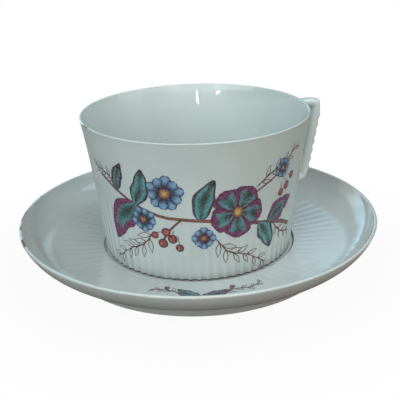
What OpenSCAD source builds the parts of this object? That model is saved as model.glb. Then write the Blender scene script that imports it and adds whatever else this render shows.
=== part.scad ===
// Breakfast cup and saucer in fluted porcelain, in millimetres.
// The origin is on the common axis, at the underside of the saucer's foot ring; +Z is up.
// The cup stands in the saucer's well by its own weight and lifts straight off.

/* [Cup] */
// Outer diameter at the rim
cup_rim_d = 105.8; // [95:0.2:125]
// Height from the base to the rim
cup_h = 65.6; // [55:0.2:80]
// Outer diameter of the straight lower wall, where it would meet the base plane
cup_base_d = 89.5; // [80:0.5:95]
// Lean of the straight lower wall, in degrees
wall_lean = 6.2; // [3:0.1:10]
// Height at which the wall starts to flare
flare_z = 40; // [38:0.5:50]
// Thickness of the wall at the base
cup_wall = 2.4; // [1.8:0.1:4]
// Thickness of the rim
rim_t = 1.1; // [0.8:0.1:1.8]
// Thickness of the floor
cup_floor = 3; // [2:0.1:5]
// Width of the foot rim that the cup stands on
base_ring_w = 4; // [2:0.5:8]
// Depth of the recess inside the foot rim
base_recess = 1.2; // [0.5:0.1:2]
// Rounding of the outer edge of the base
base_round = 1.6; // [0.5:0.1:2.5]
// Rounding of the inner corner between floor and wall
cavity_round = 10; // [3:0.5:18]

/* [Cup flutes] */
// Number of flutes round the cup
cup_flutes = 72; // [36:1:84]
// Depth of a flute at the base
cup_flute_depth = 0.45; // [0.3:0.05:0.7]
// Depth of a flute at its upper end
cup_flute_fade = 0.12; // [0.1:0.02:0.25]
// Height at which the flutes end
cup_flute_top = 36; // [20:0.5:37]
// Width of the arris left between two flutes at the base
cup_arris = 0.4; // [0.3:0.05:0.8]

/* [Handle] */
// Turn of the handle round the cup, in degrees
handle_turn = 22.5; // [0:0.5:90]
// Drop of the strap's upper face below the rim
handle_drop = 2; // [1:0.1:8]
// Reach of the top corner beyond the rim
handle_reach = 14.5; // [10:0.1:20]
// Height of the lower arm at the bar
handle_low_z = 23.8; // [15:0.2:30]
// Reach of the lower corner beyond the wall
handle_low_reach = 12.4; // [9:0.1:16]
// Fall of the lower arm from the bar to the wall
handle_low_fall = 1.8; // [0:0.1:4]
// Thickness of the strap, measured outwards
strap_t = 3.8; // [2.6:0.1:4.5]
// Width of the strap, measured along the cup's girth
strap_w = 5.6; // [4:0.1:9]
// Squareness of the strap's section: 1 is an ellipse, less is squarer
strap_soft = 0.62; // [0.5:0.02:1]
// Bend of the strap's top corner, along its middle line
top_bend = 2.6; // [2.4:0.1:6]
// Bend of the strap's lower corner, along its middle line
low_bend = 2.6; // [2.4:0.1:6]
// Pitch of the scallops along the bar
scallop_pitch = 4.8; // [3:0.1:8]
// Height of a scallop
scallop_h = 0.7; // [0.2:0.05:1.2]
// Growth of the strap where it is luted to the wall
root_spread = 0.35; // [0:0.05:0.6]
// Length over which the strap grows
root_length = 5; // [2:0.5:8]

/* [Saucer] */
// Outer diameter of the lip
saucer_d = 170; // [155:1:200]
// Height of the floor's underside above the table
foot_h = 2.3; // [1:0.1:5]
// Thickness of the floor under the cup
saucer_floor = 3; // [2:0.1:5]
// Depth of the well below the flange
well_depth = 1.2; // [0.8:0.1:2.5]
// Room between the cup's wall and the edge of the well
well_gap = 1.4; // [0.5:0.1:4]
// Rise of the flange, in degrees
flange_rise = 6.2; // [3:0.1:12]
// Thickness of the flange over the foot ring
flange_t = 3.2; // [2.4:0.1:5]
// Inner radius of the turned-up rim
rim_bend = 17.5; // [10:0.5:18]
// Steepness of the rim at the lip, in degrees
rim_rise = 70; // [55:1:80]
// Thickness of the lip
lip_t = 1.5; // [1.2:0.1:2.5]
// Outer diameter of the foot ring
foot_d = 130; // [116:1:134]
// Width of the foot ring's standing face
foot_w = 2; // [1:0.1:4]
// Rounding of the foot ring's two edges
foot_round = 0.7; // [0.3:0.1:1]
// Lean of the foot ring's two sides, from edge to root
foot_batter = 0.6; // [0:0.1:1.5]

/* [Saucer flutes] */
// Number of flutes round the saucer
saucer_flutes = 72; // [48:1:80]
// Depth of a flute
saucer_flute_depth = 0.3; // [0.2:0.05:0.5]
// Slope of the rim at which the flutes run out, in degrees
saucer_flute_end = 62; // [45:1:66]
// Share of the pitch that a flute takes
saucer_flute_share = 0.92; // [0.6:0.01:0.94]

/* [Hidden] */
glaze = "#c3cfcc";
round_steps = 4;
flare_steps = 6;
turned = 144;
tool_clear = 2;

// Wall of the cup: a straight cone that passes into a parabolic flare
base_r = cup_base_d/2;
rim_r = cup_rim_d/2;
wall_slope = tan(wall_lean);
flare_gain = (rim_r - base_r - wall_slope*cup_h)/pow(cup_h - flare_z, 2);
function wall_r(z) = base_r + wall_slope*z + (z > flare_z ? flare_gain*pow(z - flare_z, 2) : 0);
function inner_r(z) = wall_r(z) - cup_wall + (cup_wall - rim_t)*z/cup_h;
inner_slope = wall_slope + (cup_wall - rim_t)/cup_h;
floor_z = base_recess + cup_floor;
lip_z = cup_h - rim_t/2;
flare_z_list = [for (i = [0:flare_steps]) flare_z + (lip_z - flare_z)*i/flare_steps];

// Saucer, worked out from the table up and then out to the lip
well_z = foot_h + saucer_floor;
well_r = wall_r(well_depth) + well_gap;
flange_slope = tan(flange_rise);
function flange_z(r) = well_z + well_depth + (r - well_r)*flange_slope;
lip_r = saucer_d/2 - lip_t/2;
bend_r = lip_r - (rim_bend + lip_t/2)*sin(rim_rise);
bend_z = flange_z(bend_r + rim_bend*sin(flange_rise)) + rim_bend*cos(flange_rise);
bend_c = [bend_r, bend_z];
lip_c = bend_c + (rim_bend + lip_t/2)*[sin(rim_rise), -cos(rim_rise)];
foot_r = foot_d/2;
cup_z = well_z;

function arc(c, r, from, to, n = round_steps) =
    [for (i = [0:n]) let (a = from + (to - from)*i/n) c + r*[cos(a), sin(a)]];
// Centre of a rounding of radius q between the level z0 and a wall r = r0 + slope*z
function corner(r0, slope, z0, q) = [r0 + slope*(z0 + q) - q/cos(atan(slope)), z0 + q];

function cup_outline() = concat(
    arc(corner(base_r, wall_slope, 0, base_round), base_round, -90, -wall_lean),
    [for (z = flare_z_list) [wall_r(z), z]]);
function cup_inside() = concat(
    [for (i = [flare_steps:-1:0]) [inner_r(flare_z_list[i]), flare_z_list[i]]],
    arc(corner(base_r - cup_wall, inner_slope, floor_z, cavity_round), cavity_round,
        -atan(inner_slope), -90, 2*round_steps),
    [[0, floor_z]]);
foot_rim_r = corner(base_r, wall_slope, 0, base_round)[0] - base_ring_w;

// One flute of the cup: a round-bottomed gouge along the wall, shallower towards its upper end
module cup_flute() {
    half = PI*base_r/cup_flutes - cup_arris/2;
    gouge_r = 1/(2*cup_flute_depth/(half*half) - 1/base_r);
    low_r = wall_r(0) - cup_flute_depth;
    tilt = atan((wall_r(cup_flute_top) - cup_flute_fade - low_r)/cup_flute_top);
    translate([low_r, 0, 0])
        rotate([0, tilt, 0])
            translate([0, 0, -tool_clear])
                linear_extrude(height = cup_flute_top + tool_clear)
                    intersection() {
                        translate([gouge_r, 0]) circle(r = gouge_r, $fn = 48);
                        translate([-tool_clear, -half - cup_arris/4])
                            square([2*tool_clear, 2*half + cup_arris/2]);
                    }
}

function flute_turn(i) = (i + 0.5)*360/cup_flutes;

module cup_flute_ring(list) {
    for (i = list)
        rotate([0, 0, flute_turn(i)])
            cup_flute();
}

module cup_body() {
    color(glaze)
        translate([0, 0, cup_z])
            difference() {
                rotate_extrude($fn = turned)
                    polygon(concat(
                        [[0, base_recess], [foot_rim_r - base_recess, base_recess], [foot_rim_r, 0]],
                        cup_outline(),
                        arc([rim_r - rim_t/2, lip_z], rim_t/2, 0, 180),
                        cup_inside()));
                cup_flute_ring([0:cup_flutes - 1]);
            }
}

// The solid that the handle's two roots are fitted to: the cup's outside with the flutes near the handle
module handle_seat() {
    near = 2*atan((strap_w + root_length)/base_r);
    difference() {
        rotate_extrude($fn = turned)
            polygon(concat([[0, 0]], cup_outline(), [[0, lip_z]]));
        cup_flute_ring([for (i = [0:cup_flutes - 1]) if (abs(flute_turn(i) - handle_turn) < near) i]);
    }
}

// Middle line of the strap in the plane of the handle, as [distance from the axis, height]
root_in = 2;
arm_z = cup_h - handle_drop - strap_t/2;
top_root = [wall_r(arm_z) - root_in, arm_z];
top_corner = [rim_r + handle_reach - strap_t/2, arm_z];
low_corner = [wall_r(handle_low_z) + handle_low_reach - strap_t/2, handle_low_z];
low_root_z = handle_low_z - handle_low_fall;
low_root = [wall_r(low_root_z) - root_in, low_root_z];

function unit(v) = v/norm(v);
function heading(v) = atan2(v[1], v[0]);
// Stations round a corner b between a and c, each as [point, heading]
function bend(a, b, c, r, n) =
    let (u = unit(a - b), v = unit(c - b),
         half = acos(u*v)/2,
         centre = b + unit(u + v)*r/sin(half),
         from = heading(b - a), to = heading(c - b))
    [for (i = [0:n])
        let (h = from + (to - from)*i/n)
        [centre + r*[-sin(h), cos(h)], h]];
function along(p, q, n) = [for (i = [1:n - 1]) [p + (q - p)*i/n, heading(q - p)]];

bend_steps = 6;
scallop_steps = 6;
arm_steps = 4;
top_turn = bend(top_root, top_corner, low_corner, top_bend, bend_steps);
low_turn = bend(top_corner, low_corner, low_root, low_bend, bend_steps);
bar_from = top_turn[bend_steps][0];
bar_to = low_turn[0][0];
bar_l = norm(bar_to - bar_from);
scallops = max(1, round(bar_l/scallop_pitch));
bar_stations = along(bar_from, bar_to, scallops*scallop_steps);
stations = concat(
    [[top_root, 0]], along(top_root, top_turn[0][0], arm_steps),
    top_turn, bar_stations, low_turn,
    along(low_turn[bend_steps][0], low_root, arm_steps),
    [[low_root, heading(low_root - low_corner)]]);

// Height of the scallops at a station, nought off the bar
function on_bar(p) = (p - bar_from)*(bar_to - bar_from)/bar_l;
function scallop(p) =
    let (s = on_bar(p))
    s > 0 && s < bar_l ? scallop_h*abs(sin(180*s*scallops/bar_l)) : 0;
// Growth of the strap towards the nearer root
function spread(p) =
    let (d = min(norm(p - top_root), norm(p - low_root)) - root_in)
    1 + root_spread*pow(max(0, 1 - max(0, d)/root_length), 2);

section_n = 16;
function soft(x) = sign(x)*pow(abs(x), strap_soft);
// Ring of the strap at a station, rounded like a worn bar, with the scallops on its outer side
function strap_ring(st) =
    let (p = st[0], h = st[1], out = [-sin(h), cos(h)], g = spread(p))
    [for (k = [0:section_n - 1])
        let (a = 360*k/section_n,
             u = soft(cos(a))*g*strap_t/2 + max(0, cos(a))*scallop(p),
             v = soft(sin(a))*g*strap_w/2,
             q = p + u*out)
        [q[0], v, q[1]]];

module strap() {
    rings = [for (st = stations) strap_ring(st)];
    last = (len(rings) - 1)*section_n;
    polyhedron(
        [for (ring = rings, p = ring) p],
        concat(
            [[for (k = [0:section_n - 1]) k]],
            [[for (k = [section_n - 1:-1:0]) last + k]],
            [for (i = [0:len(rings) - 2], k = [0:section_n - 1])
                let (a = i*section_n + k, b = i*section_n + (k + 1)%section_n)
                each [[a, a + section_n, b], [b, a + section_n, b + section_n]]]));
}

module cup_handle() {
    color(glaze)
        translate([0, 0, cup_z])
            difference() {
                rotate([0, 0, handle_turn])
                    strap();
                handle_seat();
            }
}

function saucer_underside() =
    let (foot_out = foot_r + foot_batter, face_in = foot_r - foot_round - foot_w,
         foot_in = face_in - foot_round - foot_batter)
    concat(
        [[0, foot_h], [well_r - well_gap, foot_h]],
        [[foot_in, flange_z(foot_in) - flange_t]],
        arc([face_in, foot_round], foot_round, 180, 270, 2),
        arc([foot_r - foot_round, foot_round], foot_round, -90, 0, 2),
        [[foot_out, flange_z(foot_out) - flange_t]]);
function saucer_outline() = concat(
    arc(bend_c, rim_bend + lip_t, rim_rise/3 - 90, rim_rise - 90, 6),
    arc(lip_c, lip_t/2, rim_rise - 90 + 30, rim_rise + 90 - 30),
    arc(bend_c, rim_bend, rim_rise - 90, flange_rise - 90, 6));
edge_round = well_depth/3;
function saucer_well() = [
    [well_r + edge_round, flange_z(well_r + edge_round)],
    [well_r, flange_z(well_r) - edge_round],
    [well_r, well_z + edge_round],
    [well_r - edge_round, well_z],
    [0, well_z]];

// Stations of one saucer flute: [point, direction out of the surface, share of the depth].
// It starts over the well's edge, follows the flange and runs out on the turned-up rim.
flute_rows = 4;
strips = 2;
function saucer_stations() = concat(
    [for (r = [well_r - edge_round, (well_r + bend_r)/2])
        [[r, flange_z(r)], [-sin(flange_rise), cos(flange_rise)], 1]],
    [for (i = [0:flute_rows])
        let (a = flange_rise + (saucer_flute_end - flange_rise)*i/flute_rows)
        [bend_c + rim_bend*[sin(a), -cos(a)], [-sin(a), cos(a)], 1 - pow(i/flute_rows, 2)]]);
// Hollow of the gouge across one station, then its flat back clear of the surface
function saucer_section(st) =
    let (p = st[0], out = st[1],
         half = PI*p[0]/saucer_flutes*saucer_flute_share,
         rise = saucer_flute_depth/2)
    concat(
        [for (k = [-strips:strips])
            let (u = k/strips,
                 q = p - out*(saucer_flute_depth*st[2]*(1 - u*u) - rise*u*u))
            [q[0], half*u, q[1]]],
        [for (k = [1, -1])
            let (q = p + out*tool_clear)
            [q[0], half*k*(1 - tool_clear/rim_bend/2), q[1]]]);
function turn(p, a) = [p[0]*cos(a) - p[1]*sin(a), p[0]*sin(a) + p[1]*cos(a), p[2]];

module saucer_flute_ring() {
    rows = [for (st = saucer_stations()) saucer_section(st)];
    m = len(rows[0]);
    last = (len(rows) - 1)*m;
    gouge = concat(
        [[for (k = [0:m - 1]) k]],
        [[for (k = [m - 1:-1:0]) last + k]],
        [for (i = [0:len(rows) - 2], k = [0:m - 1])
            let (a = i*m + k, b = i*m + (k + 1)%m)
            each [[a, a + m, b], [b, a + m, b + m]]]);
    polyhedron(
        [for (i = [0:saucer_flutes - 1], row = rows, p = row) turn(p, (i + 0.5)*360/saucer_flutes)],
        [for (i = [0:saucer_flutes - 1], f = gouge) [for (v = f) v + i*len(rows)*m]]);
}

module saucer() {
    color(glaze)
        difference() {
            rotate_extrude($fn = turned)
                polygon(concat(saucer_underside(), saucer_outline(), saucer_well()));
            saucer_flute_ring();
        }
}

saucer();
cup_body();
cup_handle();
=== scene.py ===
import math

import bmesh
import bpy
from mathutils import Matrix, Vector


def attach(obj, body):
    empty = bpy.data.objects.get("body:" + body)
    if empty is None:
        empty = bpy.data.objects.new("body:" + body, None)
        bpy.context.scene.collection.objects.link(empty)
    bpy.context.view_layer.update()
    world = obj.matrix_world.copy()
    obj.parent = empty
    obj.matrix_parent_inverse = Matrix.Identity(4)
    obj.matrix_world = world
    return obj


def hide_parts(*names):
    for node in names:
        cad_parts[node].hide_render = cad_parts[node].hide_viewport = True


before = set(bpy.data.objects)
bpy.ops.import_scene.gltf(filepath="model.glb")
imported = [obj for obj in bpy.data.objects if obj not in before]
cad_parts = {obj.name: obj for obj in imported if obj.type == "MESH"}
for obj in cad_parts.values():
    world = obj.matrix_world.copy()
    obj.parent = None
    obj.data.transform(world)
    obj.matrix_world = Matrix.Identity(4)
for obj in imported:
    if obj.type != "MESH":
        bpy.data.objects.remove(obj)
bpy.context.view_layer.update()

# Sizes of the ware are in millimetres and leans in degrees; heights count from the table
mm = 0.001
saucer_r, saucer_flutes, flute_steps = 85, 72, 10
well_r, well_z = 46.28, 5.3
flange_z, flange_lean, rim_lean = 6.5, 6.2, 70
flange_rise = math.radians(flange_lean)
# Centre and radius of the turned-up rim's inner face, and of its rounded lip
bend_c, bend_q = (67.101, 26.365), 17.5
lip_c, lip_q = (84.25, 20.123), 0.75
flange_end = bend_c[0] + bend_q*math.sin(flange_rise)
# Depth of the flutes at the well and at the bend, and where they run out on the rim
well_flute, rim_flute, flute_end = 0.1, 0.07, math.radians(62)
# Foot ring: radii of its standing face, slant of its sides, rounding; the recess inside it
foot_in, foot_out, foot_batter, foot_round = 61.6, 65.0, 0.6, 0.7
recess_r, recess_z = 44.9, 2.3


def flange_height(r):
    return flange_z + (r - well_r)*math.tan(flange_rise)


def on_flange(r):
    return r, flange_height(r)


def arc(c, q, start, stop, n):
    steps = [math.radians(start + (stop - start)*i/n) for i in range(n + 1)]
    return [(c[0] + q*math.cos(a), c[1] + q*math.sin(a)) for a in steps]


def eased(points, n=5):
    # A turned profile: corner points (r, z, q), each eased with a rounding of radius q
    longest = 0.48
    out = []
    for i, (r, z, q) in enumerate(points):
        here = Vector((r, z))
        if q == 0 or i in (0, len(points) - 1):
            out.append((r, z))
            continue
        back = Vector(points[i - 1][:2]) - here
        ahead = Vector(points[i + 1][:2]) - here
        half = back.angle(ahead)/2
        reach = min(q/math.tan(half), longest*back.length, longest*ahead.length)
        a, b = here + back.normalized()*reach, here + ahead.normalized()*reach
        for k in range(n + 1):
            t = k/n
            p = a*(1 - t)**2 + here*2*t*(1 - t) + b*t*t
            out.append((p.x, p.y))
    return out


def divided(p, q, step):
    n = max(1, int(math.dist(p, q)/step))
    return [(p[0] + (q[0] - p[0])*i/n, p[1] + (q[1] - p[1])*i/n) for i in range(n + 1)]


def turned(profile, flutes):
    # Spins a profile over one flute's pitch, then repeats that sector round the axis
    bm = bmesh.new()
    line = [bm.verts.new((r*mm, 0, z*mm)) for r, z in profile]
    for a, b in zip(line, line[1:]):
        bm.edges.new((a, b))
    pitch = 2*math.pi/flutes
    round_axis = dict(cent=(0, 0, 0), axis=(0, 0, 1), dvec=(0, 0, 0))
    bmesh.ops.spin(bm, geom=bm.verts[:] + bm.edges[:], angle=pitch, steps=flute_steps, **round_axis)
    bmesh.ops.spin(bm, geom=bm.verts[:] + bm.edges[:] + bm.faces[:], angle=2*math.pi - pitch,
                   steps=flutes - 1, use_duplicate=True, **round_axis)
    bmesh.ops.remove_doubles(bm, verts=bm.verts, dist=2e-6)
    bmesh.ops.dissolve_degenerate(bm, edges=bm.edges, dist=1e-7)
    bmesh.ops.recalc_face_normals(bm, faces=bm.faces)
    return bm


def piece(name, bm, material):
    mesh = bpy.data.meshes.new(name)
    for face in bm.faces:
        face.smooth = True
    bm.to_mesh(mesh)
    bm.free()
    mesh.materials.append(material)
    made = bpy.data.objects.new(name, mesh)
    bpy.context.scene.collection.objects.link(made)
    return made


def flute_offset(angle, count):
    # Sideways place in a flute, -1 to 1 over one pitch
    turn = angle*count/(2*math.pi) - 0.5
    return 2*(turn - round(turn))


def saucer_flute(r, z, angle):
    # Depth of the flute at a point of the upper face and the direction it is pressed in
    on_face = 0.02
    hollow = 0.5 + 0.5*math.cos(math.pi*flute_offset(angle, saucer_flutes))
    if r <= flange_end and abs(z - flange_height(r)) < on_face:
        share = max(0, r - well_r)/(flange_end - well_r)
        depth = well_flute + (rim_flute - well_flute)*share
        return hollow*depth, (math.sin(flange_rise), -math.cos(flange_rise))
    slope = math.atan2(r - bend_c[0], bend_c[1] - z)
    on_bend = abs(math.dist((r, z), bend_c) - bend_q) < on_face
    if on_bend and flange_rise <= slope < flute_end:
        share = (slope - flange_rise)/(flute_end - flange_rise)
        return hollow*rim_flute*(1 - share), (math.sin(slope), -math.cos(slope))
    return 0, (0, 0)


def add(tree, kind, inputs=None, **settings):
    # One shader node; each input is given a value or the socket that feeds it
    node = tree.nodes.new(kind)
    for key, value in settings.items():
        setattr(node, key, value)
    for key, value in (inputs or {}).items():
        if isinstance(value, bpy.types.NodeSocket):
            tree.links.new(value, node.inputs[key])
        else:
            node.inputs[key].default_value = value
    return node


def reckon(tree, operation, *terms):
    # One step of arithmetic on sockets and numbers
    return add(tree, "ShaderNodeMath", dict(enumerate(terms)), operation=operation).outputs[0]


def place_on(tree):
    # Place on the piece that has the material
    return add(tree, "ShaderNodeTexCoord").outputs["Object"]


def axes_of(tree, place):
    # The X, Y and Z of a place
    return add(tree, "ShaderNodeSeparateXYZ", {0: place}).outputs


def glossy(name):
    # A new material with the refraction of glass, its tree of nodes and its shader's sockets
    mat = bpy.data.materials.new(name)
    mat.use_nodes = True
    sockets = mat.node_tree.nodes["Principled BSDF"].inputs
    sockets["IOR"].default_value = 1.5
    return mat, mat.node_tree, sockets


def coat(mat, socket, share, finish, data_type="RGBA", blend_type="MIX"):
    # Lays a colour or a value over what a socket of the shader has so far
    tree = mat.node_tree
    fed = tree.nodes["Principled BSDF"].inputs[socket]
    layers = {"Factor": share, "A": fed.links[0].from_socket, "B": finish}
    mix = add(tree, "ShaderNodeMix", layers, data_type=data_type, blend_type=blend_type)
    tree.links.new(mix.outputs["Result"], fed)


def porcelain(name, tint=(1, 1, 1)):
    # Glazed body: a cool grey-white, cloudier where the glaze pooled, with a few iron specks,
    # under a gloss that is a little uneven and rippled
    mat, tree, sockets = glossy(name)
    place = place_on(tree)
    noise = add(tree, "ShaderNodeTexNoise", {"Vector": place, "Scale": 38, "Detail": 4})
    cloud = noise.outputs["Fac"]
    tone = add(tree, "ShaderNodeValToRGB", {"Fac": cloud})
    pooled_body, thin_body = (0.50, 0.575, 0.555), (0.56, 0.625, 0.605)
    for end, at, body in zip(tone.color_ramp.elements, (0.3, 0.7), (pooled_body, thin_body)):
        end.position = at
        end.color = (*(b*t for b, t in zip(body, tint)), 1)
    tree.links.new(tone.outputs["Color"], sockets["Base Color"])

    iron, speck_size, speck_share = (0.12, 0.09, 0.07, 1), 0.035, 0.07
    cells = add(tree, "ShaderNodeTexVoronoi", {"Vector": place, "Scale": 130}).outputs
    drawn = add(tree, "ShaderNodeSeparateColor", {"Color": cells["Color"]}).outputs["Red"]
    near = reckon(tree, "LESS_THAN", cells["Distance"], speck_size)
    rare = reckon(tree, "GREATER_THAN", drawn, 1 - speck_share)
    coat(mat, "Base Color", reckon(tree, "MULTIPLY", near, rare), iron)

    gloss = add(tree, "ShaderNodeMapRange", {"Value": cloud, "To Min": 0.03, "To Max": 0.08})
    tree.links.new(gloss.outputs["Result"], sockets["Roughness"])
    ripple = add(tree, "ShaderNodeTexNoise", {"Vector": place, "Scale": 160, "Detail": 2})
    wave = add(tree, "ShaderNodeBump",
               {"Height": ripple.outputs["Fac"], "Strength": 0.035, "Distance": 0.001})
    tree.links.new(wave.outputs["Normal"], sockets["Normal"])
    return mat


def wear_and_shade_line(mat, radii, heights, grain, kept, side):
    # Brown line between two radii and two heights, left only where the noise is high and kept more
    # on one side than the other. It draws worn gilding, and round the well and the cup's foot it is
    # also painted shadow.
    tree = mat.node_tree
    brown = (0.085, 0.062, 0.048, 1)
    place = place_on(tree)
    axes = axes_of(tree, place)
    flat = add(tree, "ShaderNodeCombineXYZ", {"X": axes["X"], "Y": axes["Y"]}).outputs[0]
    radius = add(tree, "ShaderNodeVectorMath", {0: flat}, operation="LENGTH").outputs["Value"]
    breaks = add(tree, "ShaderNodeTexNoise", {"Vector": place, "Scale": grain, "Detail": 5})
    patchy = reckon(tree, "MULTIPLY_ADD", axes["X"], side/(saucer_r*mm), breaks.outputs["Fac"])
    share = reckon(tree, "GREATER_THAN", patchy, kept)
    for measure, (low, high) in ((radius, radii), (axes["Z"], heights)):
        for test, limit in (("GREATER_THAN", low), ("LESS_THAN", high)):
            share = reckon(tree, "MULTIPLY", share, reckon(tree, test, measure, limit*mm))
    coat(mat, "Base Color", share, brown)


def bare_foot(mat, top):
    # The standing face is wiped free of glaze: dull and a little darker from use
    tree = mat.node_tree
    biscuit, biscuit_roughness = (0.52, 0.49, 0.44, 1), 0.75
    low = reckon(tree, "LESS_THAN", axes_of(tree, place_on(tree))["Z"], top*mm)
    coat(mat, "Base Color", low, biscuit)
    coat(mat, "Roughness", low, biscuit_roughness, data_type="FLOAT")


# Profile from the middle of the underside out over the foot ring, up the outside, over the lip and
# back in to the well
outer_q, outer_from = bend_q + 2*lip_q, math.radians(23.3)
saucer_profile = eased([
    (0, recess_z, 0), (recess_r, recess_z, 6),
    (foot_in - foot_batter, 4.9, 1.4), (foot_in, 0, foot_round),
    (foot_out, 0, foot_round), (foot_out + foot_batter, 5.4, 1.2),
    (bend_c[0] + outer_q*math.sin(outer_from), bend_c[1] - outer_q*math.cos(outer_from), 0)])
saucer_profile += arc(bend_c, outer_q, -64, rim_lean - 90, 12)
saucer_profile += arc(lip_c, lip_q, rim_lean - 80, rim_lean + 80, 8)
saucer_profile += arc(bend_c, bend_q, rim_lean - 90, flange_lean - 90, 26)
saucer_profile += divided(on_flange(flange_end - 0.9), on_flange(well_r + 0.7), 2)
saucer_profile += eased([
    (*on_flange(well_r + 0.6), 0), (well_r + 0.1, flange_z - 0.05, 0.6),
    (well_r - 0.1, well_z, 0.8), (well_r - 3, well_z, 0)])
saucer_profile += [(30, well_z), (15, well_z), (0, well_z)]
bm = turned(saucer_profile, saucer_flutes)
flute_start = well_r + 0.3
for v in bm.verts:
    r, angle = math.hypot(v.co.x, v.co.y)/mm, math.atan2(v.co.y, v.co.x)
    if r >= flute_start:
        depth, (out, up) = saucer_flute(r, v.co.z/mm, angle)
        v.co += Vector((out*math.cos(angle), out*math.sin(angle), up))*depth*mm
saucer_glaze = porcelain("saucer_glaze", (1, 0.945, 0.945))
# Gilding on the lip, in dashes at the left. Round the well, mostly at the right, a dark line that
# is partly worn gilding and partly painted shadow of the gap beside the cup's foot
wear_and_shade_line(saucer_glaze, (84.0, 85.1), (20.0, 21.5), grain=150, kept=0.96, side=-0.45)
wear_and_shade_line(saucer_glaze, (46.1, 46.7), (5.5, 7), grain=22, kept=0.46, side=0.3)
bare_foot(saucer_glaze, 0.25)
saucer = piece("saucer_plate", bm, saucer_glaze)
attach(saucer, "saucer")
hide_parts("saucer")

# Cup body. Thin slip-cast porcelain: a fluted lower wall, a plain flared upper wall, a fine rounded
# rim and a low foot rim. It stands loose in the saucer's well.
# Heights on the cup count from its foot.
cup_z, cup_h, base_r, rim_r = well_z, 65.6, 44.75, 52.9
cup_wall, rim_t = 2.4, 1.1
flare_from, wall_slope = 40, math.tan(math.radians(6.2))
flare_gain = (rim_r - base_r - wall_slope*cup_h)/(cup_h - flare_from)**2
# Depth of the flutes in the mould below and at their upper end, and how they came out of it:
# fainter on the wall, sharper near the foot
cup_flutes, cup_flute_top, run_out = 72, 36, 4
cup_flute_depth, cup_flute_fade = 0.45, 0.12
cup_flute_half = math.pi*base_r/cup_flutes - 0.2
wall_cut, foot_cut, foot_cut_h = 0.7, 1.1, 4
# Foot rim and the recess inside it, rounding of the outer edge, floor and its rounding inside
base_recess, foot_rim_r, standing_r = 1.2, 39.3, 43.31
base_round, base_round_r = 1.6, 43.314
floor_z, cavity_round, cavity_r = 4.2, 10, 34.092
lip_z = cup_h - rim_t/2


def wall_r(z):
    return base_r + wall_slope*z + (flare_gain*(z - flare_from)**2 if z > flare_from else 0)


def inner_r(z):
    return wall_r(z) - cup_wall + (cup_wall - rim_t)*z/cup_h


def levels(low, high, n):
    return [low + (high - low)*i/n for i in range(n + 1)]


def cup_flute(angle, z):
    # Depth of the round-bottomed flute, shallower upwards, run out softly at its upper end
    # and cut deeper at the foot
    if z >= cup_flute_top:
        return 0
    side = flute_offset(angle, cup_flutes)*math.pi*wall_r(z)/cup_flutes
    deep = cup_flute_depth + (cup_flute_fade - cup_flute_depth)*max(0, z)/cup_flute_top
    hollow = max(0, deep - cup_flute_depth*(side/cup_flute_half)**2)
    cut = wall_cut + foot_cut*max(0, 1 - max(0, z)/foot_cut_h)
    return hollow*cut*min(1, (cup_flute_top - z)/run_out)


def on_wall(r, z):
    # True on the outer face, from the standing face up to the rim
    near_wall = abs(r - wall_r(z)) < base_round + 0.1
    return near_wall and r > standing_r - 0.01 and r > inner_r(z) + 0.6


def painted_lower_shade(mat, low, high):
    # Painted shade: the body colour is darkened smoothly towards the foot, standing in for shade on
    # the lower wall
    tree = mat.node_tree
    grey = (0.87, 0.86, 0.86, 1)
    height = axes_of(tree, place_on(tree))["Z"]
    lower_shade = add(tree, "ShaderNodeMapRange",
                {"Value": height, "From Min": low*mm, "From Max": high*mm,
                 "To Min": 1, "To Max": 0}, interpolation_type="SMOOTHSTEP")
    coat(mat, "Base Color", lower_shade.outputs["Result"], grey, blend_type="MULTIPLY")


# Profile from the middle of the base out over the foot rim, up the wall, over the lip and back down
# the inside
cup_profile = eased([(0, base_recess, 0), (foot_rim_r - 1.2, base_recess, 0.8),
                     (foot_rim_r, 0, 0.5), (standing_r, 0, 0)], 3)
cup_profile += arc((base_round_r, base_round), base_round, -84, -6.2, 7)
cup_profile += [(wall_r(z), z) for z in levels(2.5, 36, 18) + levels(37.5, lip_z, 18)]
cup_profile += arc((rim_r - rim_t/2, lip_z), rim_t/2, 22, 180, 7)
cup_profile += [(inner_r(z), z) for z in levels(lip_z - 0.8, 15.7, 20)[:-1]]
cup_profile += arc((cavity_r, floor_z + cavity_round), cavity_round, -7.3, -90, 14)
cup_profile += [(24, floor_z), (12, floor_z), (0, floor_z)]
bm = turned([(r, z + cup_z) for r, z in cup_profile], cup_flutes)
for v in bm.verts:
    r, z = math.hypot(v.co.x, v.co.y)/mm, v.co.z/mm - cup_z
    angle = math.atan2(v.co.y, v.co.x)
    if on_wall(r, z):
        v.co -= Vector((math.cos(angle), math.sin(angle), 0))*cup_flute(angle, z)*mm
cup_glaze = porcelain("cup_glaze")
# Painted shade on the lower wall, deepest at the foot
painted_lower_shade(cup_glaze, cup_z, cup_z + 42)
# Gilding on the rim, and a painted shadow round the foot: a dark line that stands in for the shade
# in the gap between the foot and the saucer's well
wear_and_shade_line(cup_glaze, (52.5, 53), (cup_z + 65.0, cup_z + 66), grain=30, kept=0.64, side=-0.05)
wear_and_shade_line(cup_glaze, (42, 45.2), (cup_z + 0.1, cup_z + 1.1), grain=60, kept=0.35, side=0)
cup = piece("cup_wall", bm, cup_glaze)
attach(cup, "cup")
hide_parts("cup_body")

# Handle. A squared strap of the same porcelain, cast by itself with a row of scallops down its
# outer edge. It is luted with slip to the cup's wall under the rim and again at the end of the
# lower arm, and spreads a little at both places.
handle_turn = math.radians(22.5)
# Section of the strap: thickness, width, squareness of the outer side, swell of the inner side
strap_t, strap_w, strap_soft, strap_belly, strap_sides = 3.8, 5.6, 0.8, 1.3, 32
scallop_count, scallop_h, scallop_steps = 7, 0.9, 12
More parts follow.
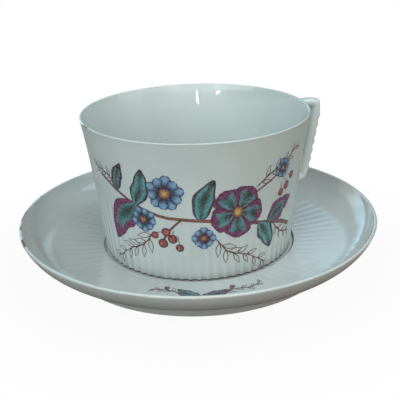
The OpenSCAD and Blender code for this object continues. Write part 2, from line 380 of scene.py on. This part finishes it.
# Radii of the two corners and how far they are filled out to a sharp one
top_bend, low_bend, corner_fill, bend_steps = 3.8, 3.4, 0.4, 20
root_spread, root_length, root_sink, arm_steps = 0.35, 5, 0.5, 8
handle_drop, top_reach, low_reach = 2, 14.5, 12.4
arm_z, low_z, low_root_z = cup_h - handle_drop - strap_t/2, 23.8, 22.0
top_root, low_root = Vector((wall_r(arm_z), arm_z)), Vector((wall_r(low_root_z), low_root_z))
top_corner = Vector((rim_r + top_reach - strap_t/2, arm_z))
low_corner = Vector((wall_r(low_z) + low_reach - strap_t/2, low_z))


def bend(a, b, c, q):
    # Stations (point, heading, squaring) round a corner b of the strap's middle line; the squaring
    # fills the outer side of the turn out towards a sharp corner
    u, v = (a - b).normalized(), (c - b).normalized()
    half = u.angle(v)/2
    centre = b + (u + v).normalized()*q/math.sin(half)
    start, stop = math.atan2(*(b - a).yx), math.atan2(*(c - b).yx)
    out = []
    for i in range(bend_steps + 1):
        heading = start + (stop - start)*i/bend_steps
        left = abs(stop - start)*min(i, bend_steps - i)/bend_steps
        square = corner_fill*(q + strap_t/2)*(1/math.cos(left) - 1)
        out.append((centre + q*Vector((-math.sin(heading), math.cos(heading))), heading, square))
    return out


def straight(p, q, n):
    heading = math.atan2(*(q - p).yx)
    return [(p.lerp(q, i/n), heading, 0) for i in range(1, n)]


top_turn = bend(top_root, top_corner, low_corner, top_bend)
low_turn = bend(top_corner, low_corner, low_root, low_bend)
bar_from, bar_to = top_turn[-1][0], low_turn[0][0]
bar_l = (bar_to - bar_from).length
# Both ends reach a little into the wall, and the last ring of each follows its curve
sunk = Vector((-0.45, 0))
stations = [(top_root + sunk, 0, 0)] + straight(top_root, top_turn[0][0], arm_steps) + top_turn
stations += straight(bar_from, bar_to, scallop_count*scallop_steps) + low_turn
stations += straight(low_turn[-1][0], low_root, arm_steps)
stations.append((low_root + sunk, low_turn[-1][1], 0))


def strap_point(point, heading, square, a):
    # Point of the strap's section at angle a: round on the inner side, soft-cornered on the outer
    # side, which carries the scallops
    outer = math.cos(a) > 0

    def soft(x):
        return math.copysign(abs(x)**(strap_soft if outer else 1), x)

    s = (point - bar_from).dot(bar_to - bar_from)/bar_l
    lobe = scallop_h*abs(math.sin(math.pi*s*scallop_count/bar_l)) if 0 < s < bar_l else 0
    root = min((point - top_root).length, (point - low_root).length)
    grow = 1 + root_spread*max(0, 1 - root/root_length)**2
    out = soft(math.cos(a))*grow*strap_t/2*(1 if outer else strap_belly)
    out += max(0, math.cos(a))*(lobe + square)
    p = point + out*Vector((-math.sin(heading), math.cos(heading)))
    return Vector((p.x, soft(math.sin(a))*grow*strap_w/2, p.y))


bm = bmesh.new()
ring = bmesh.ops.create_circle(bm, segments=strap_sides, radius=1)["verts"]
order = sorted(ring, key=lambda v: math.atan2(v.co.y, v.co.x) % (2*math.pi))
angles = [math.atan2(v.co.y, v.co.x) for v in order]
edges = bm.edges[:]
for number, (point, heading, square) in enumerate(stations):
    if number:
        grown = bmesh.ops.extrude_edge_only(bm, edges=edges)["geom"]
        moved = {v for v in grown if isinstance(v, bmesh.types.BMVert)}
        order = [next(e.other_vert(v) for e in v.link_edges if e.other_vert(v) in moved)
                 for v in order]
        edges = [e for e in grown if isinstance(e, bmesh.types.BMEdge)
                 and all(v in moved for v in e.verts)]
    for v, a in zip(order, angles):
        v.co = strap_point(point, heading, square, a)
        if number in (0, len(stations) - 1):
            v.co.x = math.sqrt((wall_r(v.co.z) - root_sink)**2 - v.co.y**2)
bmesh.ops.holes_fill(bm, edges=bm.edges, sides=strap_sides)
turn = Matrix.Rotation(handle_turn, 4, "Z") @ Matrix.Translation((0, 0, cup_z))
bmesh.ops.transform(bm, matrix=Matrix.Scale(mm, 4) @ turn, verts=bm.verts)
bmesh.ops.recalc_face_normals(bm, faces=bm.faces)
# Painted light: the handle's glaze is the cup's porcelain made 15% lighter, standing in for light
# on the strap
handle_glaze_painted_lighter = porcelain("handle_glaze_painted_lighter", (1.15, 1.15, 1.15))
handle = piece("handle_strap", bm, handle_glaze_painted_lighter)
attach(handle, "cup")
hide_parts("cup_handle")

# Flower band on the cup. Enamel colours fired on over the glaze: a printed purple-brown outline
# filled in by hand with thin washes, laid over the plain wall and the upper ends of the flutes.


def srgb(r, g, b):
    return Vector([((c/255 + 0.055)/1.055)**2.4 if c > 10 else c/255/12.92 for c in (r, g, b)])


ink, sepia, twig = srgb(58, 36, 46), srgb(92, 50, 54), srgb(126, 76, 58)
magenta, plum = srgb(116, 36, 92), srgb(70, 22, 58)
sea, deep_sea = srgb(94, 158, 160), srgb(26, 52, 48)
blue, pale_blue, night = srgb(70, 112, 158), srgb(116, 157, 188), srgb(26, 36, 66)
straw, coral, brick = srgb(196, 152, 82), srgb(176, 86, 66), srgb(118, 46, 42)
# Widths of the pen's lines, radius of a berry's tip, size of a wash's cells, height of the print
# and of each further stroke
pen, frond_pen, berry_pen, berry_tip, cell = 0.4, 0.46, 0.34, 0.34, 0.45
print_lift, stroke_lift = 0.09, 0.0005


def curve(points, n):
    # Points along a smooth line through the given ones
    pts = [Vector(p) for p in points]
    pts = [2*pts[0] - pts[1]] + pts + [2*pts[-1] - pts[-2]]
    out = []
    for i in range(n + 1):
        t = i/n*(len(pts) - 3)
        k = min(int(t), len(pts) - 4)
        t -= k
        a, b, c, d = pts[k:k + 4]
        out.append(0.5*(2*b + (c - a)*t + (2*a - 5*b + 4*c - d)*t*t + (3*b - a - 3*c + d)*t**3))
    return out


def normals(line):
    out = []
    for i in range(len(line)):
        along = line[min(i + 1, len(line) - 1)] - line[max(i - 1, 0)]
        out.append(Vector((-along.y, along.x)).normalized())
    return out


def borders(line, half):
    # The two edges of a shape that reaches half to either side of its middle line
    side = normals(line)
    return ([p - s*h for p, s, h in zip(line, side, half)],
            [p + s*h for p, s, h in zip(line, side, half)])


def clamped(x):
    return min(1, max(0, x))


class Sheet:
    # One sheet of print, drawn flat in millimetres and then laid on its ware
    def __init__(self):
        self.bm = bmesh.new()
        self.tint = self.bm.verts.layers.float_color.new("tint")
        self.layer = 0

    def wash(self, low, high, across, colour, over=True):
        # Fills the space between two lines; colour is a function of place along and across
        self.layer += over
        n = len(low) - 1
        grid = bmesh.ops.create_grid(self.bm, x_segments=n, y_segments=across, size=0.5)
        for v in grid["verts"]:
            u, w = v.co.x + 0.5, v.co.y + 0.5
            p = low[round(u*n)].lerp(high[round(u*n)], w)
            v.co = (p.x, p.y, self.layer)
            v[self.tint] = (*colour(u, w), 1)

    def stroke(self, points, width, colour, taper=0.5, over=True):
        # One line of the brush, thinner towards its end
        length = sum(math.dist(a, b) for a, b in zip(points, points[1:]))
        line = curve(points, max(4, int(length/0.4)))
        last = len(line) - 1
        half = [width/2*(1 - (1 - taper)*i/last) for i in range(last + 1)]
        self.wash(*borders(line, half), 2, lambda u, w: colour, over)

    def branch(self, points, width, taper):
        # A woody twig: brown, outlined in ink
        self.stroke(points, width + 0.5, ink, taper)
        self.stroke(points, width, twig, taper)

    def leaf(self, base, tip, width, bow, edge, border=0.5, broad=0.8, veins=5, outline=pen):
        # A leaf between base and tip: green wash with a coloured border, ink outline, midrib,
        # veins and hatching
        base, tip = Vector(base), Vector(tip)
        along = tip - base
        middle = (base + tip)/2 + Vector((-along.y, along.x)).normalized()*bow
        n = max(10, int(along.length/cell))
        line = curve([base, middle, tip], n)
        side = normals(line)

        def swell(t):
            # Half the width at a share t of the length: narrow at both ends, with a wavy edge
            wavy = 1 + 0.08*math.sin(13*t + base.x)
            return width/2*math.sin(math.pi*(0.02 + 0.96*t)**broad)**0.85*wavy

        def shade(u, w):
            # Dark blots along the midrib, the plain wash, then the border with a dark streak in it
            across = abs(2*w - 1)
            blot = 0.5 + 0.5*math.sin(9*u + 4*w + base.x)
            dark = sea.lerp(deep_sea, min(1, (0.6 + 0.6*blot)*max(0, 1 - across/0.75)))
            rim = min(1, max(0, (across + border - 1)/0.18, (u + 0.6*border - 1)/0.1))
            streak = 0.6*max(0, 1 - abs(across + border - 1.2)/0.25)
            return dark.lerp(edge.lerp(plum, streak), rim)

        half = [swell(i/n) for i in range(n + 1)]
        low, high = borders(line, half)
        self.wash(low, high, max(6, int(width/cell)), shade)
        self.stroke(low, outline, ink, 0.8)
        self.stroke(high, outline, ink, 0.8, False)
        self.stroke(line[:-2], outline, ink, 0.4, False)
        # One vein and two shorter lines of hatching at each place, on both sides of the midrib
        for k in range(1, veins + 1):
            for way in (-1, 1):
                for shift, reach, fine in ((0, 0.82, 0.65), (0.32, 0.5, 0.5), (0.62, 0.36, 0.5)):
                    i = min(n - 1, int(n*(k - 0.4 + shift)/(veins + 1)))
                    j = min(n, i + max(1, n//8))
                    start = line[i] + side[i]*way*half[i]*0.1
                    stop = line[j] + side[j]*way*half[j]*reach
                    self.stroke([start, stop], outline*fine, ink, 0.4, False)

    def petal(self, base, tip, width, depth):
        # One blue petal: pale towards its round tip, dark towards the eye, with a few fine lines
        n = max(8, int((tip - base).length/0.5))
        line = curve([base, tip], n)
        side = normals(line)
        half = [width/2*math.sin(math.pi*(0.03 + 0.94*(i/n)**1.7))**0.7 for i in range(n + 1)]
        low, high = borders(line, half)

        def shade(u, w):
            # Pale along the middle, bluer to the sides, dark towards the eye
            body = pale_blue.lerp(blue, clamped((abs(2*w - 1) - 0.35)/0.4))
            return body.lerp(depth, 0.95*clamped((0.7 - u)/0.35))

        self.wash(low, high, max(6, int(width/cell)), shade)
        self.stroke(low, pen, ink, 0.9)
        self.stroke(high, pen, ink, 0.9, False)
        for way in (-0.3, 0, 0.3):
            stop = line[int(0.62*n)] + side[n//2]*way*width
            self.stroke([line[1], stop], pen*0.8, depth, 0.3, False)

    def flower(self, centre, radius, petals, turn, depth):
        # An open flower with rounded petals round a stippled straw-coloured eye
        centre = Vector(centre)
        width = min(0.9, 5.4/petals)*radius
        for k in list(range(0, petals, 2)) + list(range(1, petals, 2)):
            a = math.radians(turn) + 2*math.pi*k/petals
            out = Vector((math.cos(a), math.sin(a)))*radius
            self.petal(centre + out*0.14, centre + out*(0.94 + 0.06*math.cos(3*k)), width, depth)
        self.eye(centre, radius*0.3, radius*0.27)
        for k in range(6):
            out = Vector((math.cos(k*1.05), math.sin(k*1.05)))
            self.dot(centre + out*radius*0.17, 0.3, brick, ink)

    def eye(self, centre, outline, radius):
        # The straw-coloured middle of a flower, ringed with ink
        self.dot(centre, outline, ink, ink)
        self.dot(centre, radius, straw, twig)

    def dot(self, centre, radius, fill, rim):
        # A round spot, shaded towards its edge
        centre, n = Vector(centre), max(6, int(2*radius/0.3))
        turns = [math.pi*(1 - i/n) for i in range(n + 1)]
        low = [centre + Vector((math.cos(a), -math.sin(a)))*radius for a in turns]
        high = [centre + Vector((math.cos(a), math.sin(a)))*radius for a in turns]

        def shade(u, w):
            out = math.hypot(math.cos(math.pi*u), math.sin(math.pi*u)*(2*w - 1))
            return fill.lerp(rim, clamped((out - 0.35)/0.5))

        self.wash(low, high, n, shade)

    def berry(self, s, h, q, stem):
        # A coral berry on a short ink stem, with its dark tip
        root, elbow = (s + stem[0], h + stem[1]), (s + stem[0]*0.4, h + stem[1]*0.8)
        self.stroke([root, elbow, (s, h)], berry_pen, ink, 0.7)
        self.dot((s, h), q + 0.22, ink, ink)
        self.dot((s, h), q, coral, brick)
        self.dot((s - stem[0]*0.08, h - q*0.55), berry_tip, ink, ink)

    def frond(self, points, leaves, length):
        # A fine twig with narrow leaflets drawn in outline only
        n = 40
        self.stroke(points, 0.6, sepia, 0.6)
        line = curve(points, n)
        side = normals(line)
        for k in range(leaves):
            i = int(n*(k + 1)/(leaves + 0.6))
            way = 1 if k % 2 else -1
            ahead = (line[min(n, i + 1)] - line[max(0, i - 1)]).normalized()
            leaflet = (ahead*0.75 + side[i]*way*0.65)*length*(1 - 0.35*k/leaves)
            tip, middle = line[i] + leaflet, line[i] + leaflet/2
            bow = Vector((-leaflet.y, leaflet.x))*0.16
            self.stroke([line[i], middle + bow, tip], frond_pen, sepia, 0.5, False)
            self.stroke([line[i], middle - bow, tip], frond_pen, sepia, 0.5, False)

    def laid(self, name, place, material):
        # Lays the sheet on the ware; every further stroke lies a hair above the one before
        for v in self.bm.verts:
            v.co = place(v.co.x, v.co.y, print_lift + stroke_lift*v.co.z)*mm
        bmesh.ops.recalc_face_normals(self.bm, faces=self.bm.faces)
        return piece(name, self.bm, material)


def enamel(name):
    # Overglaze colour: the wash is uneven, thinner in places, with a duller gloss than the glaze
    mat, tree, sockets = glossy(name)
    bare_glaze = (0.47, 0.52, 0.5, 1)
    tint = add(tree, "ShaderNodeVertexColor", layer_name="tint")
    tree.links.new(tint.outputs["Color"], sockets["Base Color"])
    brush = add(tree, "ShaderNodeTexNoise", {"Vector": place_on(tree), "Scale": 900, "Detail": 4})
    brushed = brush.outputs["Fac"]
    thin = add(tree, "ShaderNodeMapRange", {"Value": brushed, "From Min": 0.35, "From Max": 0.7,
                                            "To Min": 0.0, "To Max": 0.1})
    coat(mat, "Base Color", thin.outputs["Result"], bare_glaze)
    gloss = add(tree, "ShaderNodeMapRange", {"Value": brushed, "To Min": 0.2, "To Max": 0.36})
    tree.links.new(gloss.outputs["Result"], sockets["Roughness"])
    return mat


def on_cup(s, h, lift):
    # Place on the cup's wall, s round from the front and h up from the foot
    angle = -math.pi/2 + s/band_r
    r = wall_r(h) - cup_flute(angle, h) + lift
    return Vector((r*math.cos(angle), r*math.sin(angle), h + cup_z))


band_r = 49.0
band = Sheet()
band.frond([(-20, 24), (-26, 17), (-34, 13), (-46, 5)], 11, 8)
band.frond([(8, 21), (14, 14), (23, 11), (35, 4)], 11, 7.5)
band.frond([(26, 43), (34, 48), (42, 51), (51, 56)], 9, 6)
band.frond([(-36, 42), (-43, 47), (-52, 49)], 7, 5.5)
band.frond([(38, 22), (45, 16), (54, 13)], 7, 5)
band.branch([(53, 17), (42, 22), (30, 25), (18, 28), (6, 30), (-6, 31), (-16, 32), (-28, 36),
             (-48, 46)], 1.5, 0.6)
band.branch([(14, 28), (24, 39), (31, 43), (40, 47)], 0.8, 0.5)
band.branch([(-7, 31), (-12, 26), (-16, 20)], 0.6, 0.6)
for s, h, q, stem in ((-16, 19, 2.1, (2, 4)), (-11.4, 21.4, 2.0, (1, 4)),
                      (-14.2, 24.6, 1.9, (3, 2)), (-8.4, 17.2, 1.7, (-1, 6)),
                      (-19.6, 22.6, 1.6, (4, 2)), (45, 38.6, 1.8, (-3, 4)),
                      (48.6, 42.4, 1.6, (-4, 1)), (41, 36.4, 1.6, (0, 5))):
    band.berry(s, h, q, stem)
band.leaf((1, 31), (7, 49), 9, 1.2, deep_sea, 0.35)
band.leaf((34, 24), (50, 32), 9.5, 1.2, magenta, 0.6)
band.leaf((29, 25), (37, 11), 8.4, 1.0, deep_sea, 0.35)
band.leaf((-28, 36), (-23, 53), 8, -1.0, deep_sea, 0.35)
band.leaf((-38, 41), (-33, 54), 6, 0.8, plum, 0.5)
band.leaf((-28, 36), (-43, 16), 13, -2.4, magenta, 0.6, broad=0.72, veins=7)
# The large flower: five broad petals, each drawn like a leaf with its widest part outwards
rose = Vector((17.5, 33))
for k in range(5):
    a = math.radians(54 + 72*k)
    out = Vector((math.cos(a), math.sin(a)))
    band.leaf(rose + out*1.2, rose + out*12.4, 12, 0.4, magenta, 0.5,
              broad=1.35, veins=4, outline=0.5)
band.eye(rose, 2.9, 2.6)
band.flower((-13.5, 43), 8.4, 10, 10, night)
band.flower((-24.5, 29.5), 6.2, 9, 34, night)
band.flower((2.5, 22), 5.4, 8, 0, plum)
band.flower((40.5, 48), 4.8, 8, 20, night)
overglaze = enamel("overglaze_enamel")
cup_print = band.laid("cup_flower_band", on_cup, overglaze)
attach(cup_print, "cup")

# Sprig on the saucer. The same overglaze enamels, printed, filled in and fired on with the band:
# one small spray on the flange, in front of the cup.
sprig_r = 61.0


def saucer_top(r):
    # Height of the upper face before fluting
    if r < flange_end:
        return flange_height(r)
    return bend_c[1] - math.sqrt(bend_q**2 - (r - bend_c[0])**2)


def on_saucer(s, h, lift):
    # Place on the saucer's upper face, s round from the front and h in towards the cup
    r, angle = sprig_r - h, -math.pi/2 + s/sprig_r
    z = saucer_top(r)
    depth, (out, up) = saucer_flute(r, z, angle)
    r += out*depth
    return Vector((r*math.cos(angle), r*math.sin(angle), z + up*depth + lift))


sprig = Sheet()
sprig.frond([(9, 0), (16, 3), (23, 2), (30, 5)], 8, 4.6)
sprig.frond([(-9, 2), (-15, 4), (-22, 3)], 6, 4.2)
sprig.branch([(-10, 2), (0, -2), (10, 0)], 0.7, 0.6)
sprig.leaf((0, -1.5), (-10, 5.5), 6, 0.8, deep_sea, 0.35)
sprig.leaf((1, -1.6), (13, 3.4), 6.4, -0.8, magenta, 0.55)
sprig.flower((-1, -6), 5.2, 8, 15, night)
sprig.berry(15.5, 5.8, 1.2, (-3, -3))
sprig.berry(-15.5, 6.2, 1.1, (3, -3))
saucer_print = sprig.laid("saucer_sprig", on_saucer, overglaze)
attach(saucer_print, "saucer")

# Table and light. A plain white ground, soft panels in front and above, strongest on the left, a
# warm weak fill from the right, a cool window behind, and the camera where the photographer stood.
scene = bpy.context.scene
scene.view_settings.view_transform = "Standard"
# The ground is seen white, faintly shaded near the saucer, and throws back little warm light
ground = bpy.data.materials.new("white_ground")
ground.use_nodes = True
tree = ground.node_tree
tree.nodes.clear()
bounced, reflected = (0.035, 0.02, 0.012, 1), (0.47, 0.43, 0.39, 1)
shade_r, clear_r, shade_white = saucer_r*mm, 140*mm, 0.95
path = add(tree, "ShaderNodeLightPath").outputs
seen = reckon(tree, "MAXIMUM", path["Is Camera Ray"], path["Is Glossy Ray"])
seen = reckon(tree, "MAXIMUM", seen, path["Is Transmission Ray"])
dim = add(tree, "ShaderNodeBsdfDiffuse", {"Color": bounced}).outputs[0]
lit = add(tree, "ShaderNodeBsdfDiffuse", {"Color": reflected}).outputs[0]
shown = add(tree, "ShaderNodeMixShader", {"Fac": seen, 1: dim, 2: lit}).outputs[0]
away = add(tree, "ShaderNodeVectorMath", {0: place_on(tree)}, operation="LENGTH").outputs["Value"]
fade = add(tree, "ShaderNodeMapRange", {"Value": away, "From Min": shade_r, "From Max": clear_r,
                                        "To Min": shade_white, "To Max": 1.0}).outputs["Result"]
veil = reckon(tree, "MULTIPLY", path["Is Camera Ray"], fade)
white = add(tree, "ShaderNodeEmission", {"Strength": 1}).outputs[0]
lifted = add(tree, "ShaderNodeMixShader", {"Fac": veil, 1: shown, 2: white}).outputs[0]
add(tree, "ShaderNodeOutputMaterial", {"Surface": lifted})
bm = bmesh.new()
bmesh.ops.create_grid(bm, x_segments=1, y_segments=1, size=3)
floor = piece("white_table", bm, ground)

# The room is dim round the set and white where the camera looks past it
world = bpy.data.worlds.new("room")
scene.world = world
world.use_nodes = True
tree = world.node_tree
tree.nodes.clear()
path = add(tree, "ShaderNodeLightPath").outputs
axes = axes_of(tree, add(tree, "ShaderNodeTexCoord").outputs["Generated"])
height = add(tree, "ShaderNodeMapRange", {"Value": axes["Z"], "From Min": -0.2}).outputs["Result"]
walls = add(tree, "ShaderNodeValToRGB", {"Fac": height})
walls.color_ramp.elements[0].color = (0.02, 0.018, 0.016, 1)
walls.color_ramp.elements[1].color = (0.04, 0.042, 0.042, 1)
room = add(tree, "ShaderNodeBackground", {"Color": walls.outputs["Color"]}).outputs[0]
turned_to = reckon(tree, "ARCTAN2", axes["X"], axes["Y"])
raised_to = reckon(tree, "ARCSINE", axes["Z"])


def window(left, right, low, high, blur, power):
    # A cool window behind the set, seen only in the glaze, with edges blurred as through a curtain
    daylight = (0.42, 0.77, 1.0, 1)
    share = power
    for measure, edge, way in ((turned_to, left, 1), (turned_to, right, -1),
                               (raised_to, low, 1), (raised_to, high, -1)):
        inside = add(tree, "ShaderNodeMapRange", {
            "Value": measure, "From Min": math.radians(edge - way*blur),
            "From Max": math.radians(edge + way*blur)}, interpolation_type="SMOOTHSTEP")
        share = reckon(tree, "MULTIPLY", inside.outputs["Result"], share)
    return add(tree, "ShaderNodeBackground", {"Color": daylight, "Strength": share}).outputs[0]


for pane in (window(-47, -18, -5, 20, 5, 2.5),
             window(-18, -2, -5, 13, 5, 2.5),
             window(0, 8, 15, 29, 4, 1.4)):
    room = add(tree, "ShaderNodeAddShader", {0: room, 1: pane}).outputs[0]
blank = add(tree, "ShaderNodeBackground", {"Color": (1, 1, 1, 1)}).outputs[0]
both = add(tree, "ShaderNodeMixShader", {"Fac": path["Is Camera Ray"], 1: room, 2: blank})
add(tree, "ShaderNodeOutputWorld", {"Surface": both.outputs[0]})

# Panels of light, in metres and watts: place, the point each is turned to, width and height, power
# and colour; the last two are the small lamps that glint inside the cup
middle = (0, 0, 0.03)
for name, at, aim, size, power, colour in (
        ("front_panel", (0, -0.82, 0.57), middle, (1.0, 0.8), 4.1, (1.0, 0.94, 0.92)),
        ("front_low", (0, -0.95, 0.34), middle, (1.4, 0.4), 1.1, (1.0, 0.98, 0.96)),
        ("high_panel", (0, -0.50, 0.87), middle, (0.7, 0.7), 0.9, (0.72, 0.94, 1.0)),
        ("left_panel", (-0.58, -0.58, 0.57), middle, (0.8, 0.7), 4.8, (0.79, 0.95, 1.0)),
        ("right_panel", (0.58, -0.58, 0.57), middle, (0.7, 0.7), 1.5, (1.0, 0.84, 0.76)),
        ("right_low", (0.95, -0.25, 0.17), middle, (0.55, 0.5), 1.2, (1.0, 0.93, 0.82)),
        ("right_high", (0.50, 0.05, 0.87), middle, (0.6, 0.6), 3.0, (0.68, 0.89, 1.0)),
        ("ceiling", (0, 0.05, 1.0), middle, (0.7, 0.7), 1.3, (0.96, 0.98, 1.0)),
        ("back_left", (-0.70, 0.70, 0.17), middle, (0.55, 0.5), 0.8, (1.0, 0.82, 0.68)),
        ("slit", (-0.053, -0.95, 0.19), (0, 0.05, 0.065), (0.03, 0.08), 0.26, (1, 1, 1)),
        ("bulb", (-0.41, -0.80, 0.21), (0.012, 0.05, 0.067), (0.07, 0.02), 0.11, (1, 1, 1))):
    light = bpy.data.lights.new(name, "AREA")
    light.shape, light.size, light.size_y = "RECTANGLE", *size
    light.energy, light.color = power, colour
    lamp = bpy.data.objects.new(name, light)
    lamp.location = at
    lamp.rotation_euler = (Vector(aim) - Vector(at)).to_track_quat("-Z", "Y").to_euler()
    lamp.visible_camera = False
    scene.collection.objects.link(lamp)

# The camera stands in front, a little above, and is rolled very slightly
camera_data = bpy.data.cameras.new("camera")
camera_data.sensor_width, camera_data.lens = 36, 63.9
camera = bpy.data.objects.new("camera", camera_data)
elevation, roll, distance = math.radians(22.11), math.radians(-1.66), 0.344
aim = Vector((0.0012, 0, 0.02572))
camera.location = aim + distance*Vector((0, -math.cos(elevation), math.sin(elevation)))
view = Matrix.Rotation(math.pi/2 - elevation, 4, "X") @ Matrix.Rotation(roll, 4, "Z")
camera.rotation_euler = view.to_euler()
scene.collection.objects.link(camera)
scene.camera = camera
